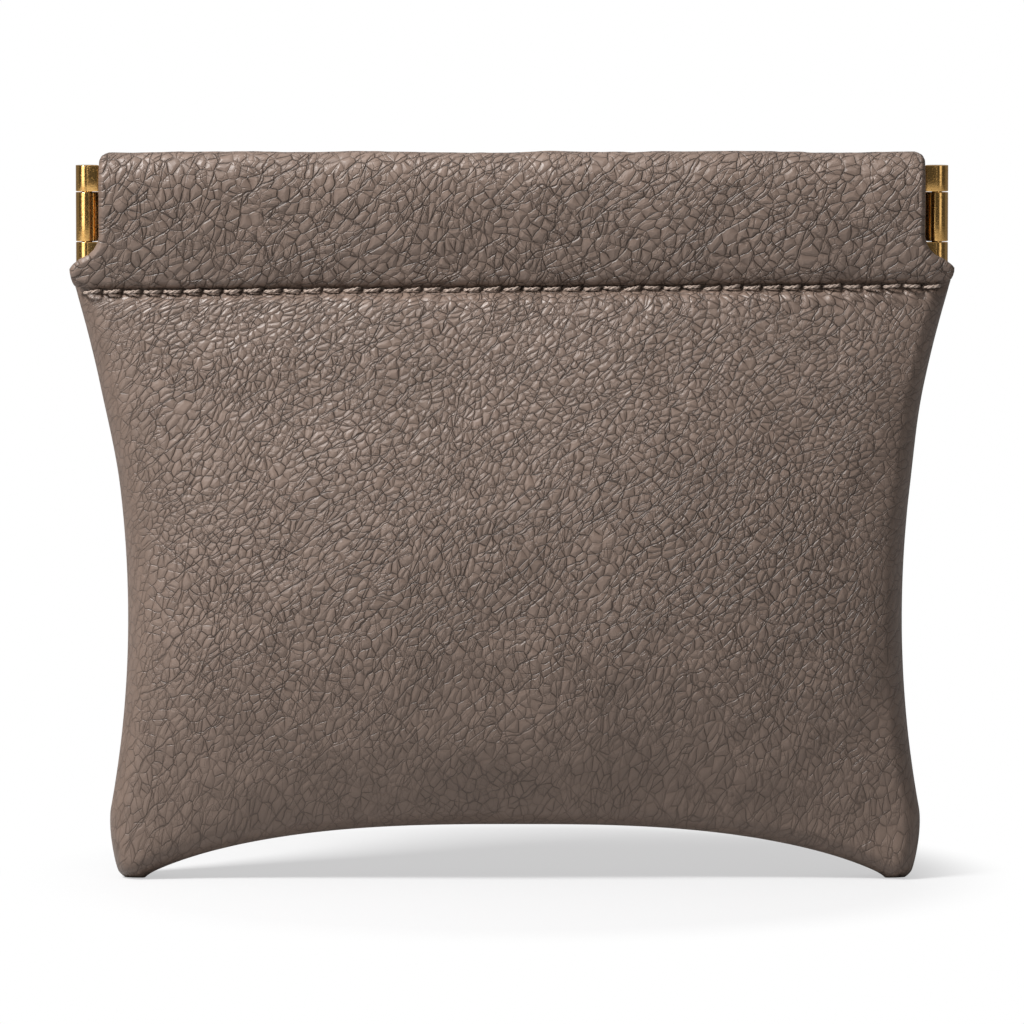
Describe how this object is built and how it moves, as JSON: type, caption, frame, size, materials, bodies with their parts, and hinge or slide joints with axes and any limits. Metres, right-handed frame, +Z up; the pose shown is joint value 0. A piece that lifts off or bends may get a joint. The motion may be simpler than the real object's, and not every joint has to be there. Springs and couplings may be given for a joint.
{
  "type": "squeeze coin purse",
  "caption": "Flat leather coin purse with a turned pouch and a sprung, hinged mouth frame in a stitched top fold; squeezing its ends bows the mouth open.",
  "frame": {"origin": "on the surface that the purse stands on, midway between its two bottom corners and between its front and rear panels", "axes": "+X along the mouth to the viewer's right when the front panel is seen, +Y from the front panel to the rear panel, +Z up from the bottom corners to the fold"},
  "size_m": [0.103, 0.0192, 0.0851],
  "materials": {
    "leather": "pebbled, taupe, semi-matt",
    "thread": "twisted, taupe, slightly waxed",
    "polished_brass": "polished",
    "spring_steel": "bright rolled strip"
  },
  "bodies": {
    "pouch": {"front_panel": "leather", "rear_panel": "leather", "seam_stitches": "thread"},
    "front_mouth_middle": {"front_casing_middle": "leather", "front_spring_strip_middle": "spring_steel", "front_hem_stitches_middle": "thread"},
    "front_mouth_left": {"front_casing_left": "leather", "front_spring_strip_left": "spring_steel", "front_hem_stitches_left": "thread"},
    "front_left_hinge": {"front_casing_left_end": "leather", "front_spring_strip_left_end": "spring_steel", "front_left_hinge_leaf": "polished_brass", "front_left_rivets": "spring_steel", "front_hem_stitches_left_end": "thread", "left_hinge_pin": "polished_brass"},
    "front_mouth_right": {"front_casing_right": "leather", "front_spring_strip_right": "spring_steel", "front_hem_stitches_right": "thread"},
    "front_right_hinge": {"front_casing_right_end": "leather", "front_spring_strip_right_end": "spring_steel", "front_right_hinge_leaf": "polished_brass", "front_right_rivets": "spring_steel", "front_hem_stitches_right_end": "thread", "right_hinge_pin": "polished_brass"},
    "rear_mouth_middle": {"rear_casing_middle": "leather", "rear_spring_strip_middle": "spring_steel", "rear_hem_stitches_middle": "thread"},
    "rear_mouth_left": {"rear_casing_left": "leather", "rear_spring_strip_left": "spring_steel", "rear_hem_stitches_left": "thread"},
    "rear_left_hinge": {"rear_casing_left_end": "leather", "rear_spring_strip_left_end": "spring_steel", "rear_left_hinge_leaf": "polished_brass", "rear_left_rivets": "spring_steel", "rear_hem_stitches_left_end": "thread"},
    "rear_mouth_right": {"rear_casing_right": "leather", "rear_spring_strip_right": "spring_steel", "rear_hem_stitches_right": "thread"},
    "rear_right_hinge": {"rear_casing_right_end": "leather", "rear_spring_strip_right_end": "spring_steel", "rear_right_hinge_leaf": "polished_brass", "rear_right_rivets": "spring_steel", "rear_hem_stitches_right_end": "thread"}
  },
  "joints": [
    {"name": "front_mouth_opening", "type": "slide", "parent": "pouch", "child": "front_mouth_middle", "axis": [0, -1, 0], "range_m": [0, 0.015], "stiffness_N_per_m": 120, "springref_m": -0.008},
    {"name": "front_left_strip_bend", "type": "hinge", "parent": "front_mouth_middle", "child": "front_mouth_left", "pos_m": [-0.00815, 0, 0.0776], "axis": [0, 0, -1], "range_deg": [0, 18.73]},
    {"name": "front_left_end_bend", "type": "hinge", "parent": "front_mouth_left", "child": "front_left_hinge", "pos_m": [-0.042, 0, 0.0776], "axis": [0, 0, -1], "range_deg": [0, 13.27]},
    {"name": "front_right_strip_bend", "type": "hinge", "parent": "front_mouth_middle", "child": "front_mouth_right", "pos_m": [0.00815, 0, 0.0776], "axis": [0, 0, 1], "range_deg": [0, 18.73]},
    {"name": "front_right_end_bend", "type": "hinge", "parent": "front_mouth_right", "child": "front_right_hinge", "pos_m": [0.042, 0, 0.0776], "axis": [0, 0, 1], "range_deg": [0, 13.27]},
    {"name": "rear_mouth_opening", "type": "slide", "parent": "pouch", "child": "rear_mouth_middle", "axis": [0, 1, 0], "range_m": [0, 0.015]},
    {"name": "rear_left_strip_bend", "type": "hinge", "parent": "rear_mouth_middle", "child": "rear_mouth_left", "pos_m": [-0.00815, 0, 0.0776], "axis": [0, 0, 1], "range_deg": [0, 18.73]},
    {"name": "rear_left_end_bend", "type": "hinge", "parent": "rear_mouth_left", "child": "rear_left_hinge", "pos_m": [-0.042, 0, 0.0776], "axis": [0, 0, 1], "range_deg": [0, 13.27]},
    {"name": "rear_right_strip_bend", "type": "hinge", "parent": "rear_mouth_middle", "child": "rear_mouth_right", "pos_m": [0.00815, 0, 0.0776], "axis": [0, 0, -1], "range_deg": [0, 18.73]},
    {"name": "rear_right_end_bend", "type": "hinge", "parent": "rear_mouth_right", "child": "rear_right_hinge", "pos_m": [0.042, 0, 0.0776], "axis": [0, 0, -1], "range_deg": [0, 13.27]}
  ],
  "couplings": [
    {"joint": "front_left_strip_bend", "follows": "front_mouth_opening", "rad_per_m": 21.793},
    {"joint": "front_left_end_bend", "follows": "front_mouth_opening", "rad_per_m": 15.44},
    {"joint": "front_right_strip_bend", "follows": "front_mouth_opening", "rad_per_m": 21.793},
    {"joint": "front_right_end_bend", "follows": "front_mouth_opening", "rad_per_m": 15.44},
    {"joint": "rear_mouth_opening", "follows": "front_mouth_opening", "ratio": 1},
    {"joint": "rear_left_strip_bend", "follows": "front_mouth_opening", "rad_per_m": 21.793},
    {"joint": "rear_left_end_bend", "follows": "front_mouth_opening", "rad_per_m": 15.44},
    {"joint": "rear_right_strip_bend", "follows": "front_mouth_opening", "rad_per_m": 21.793},
    {"joint": "rear_right_end_bend", "follows": "front_mouth_opening", "rad_per_m": 15.44}
  ]
}
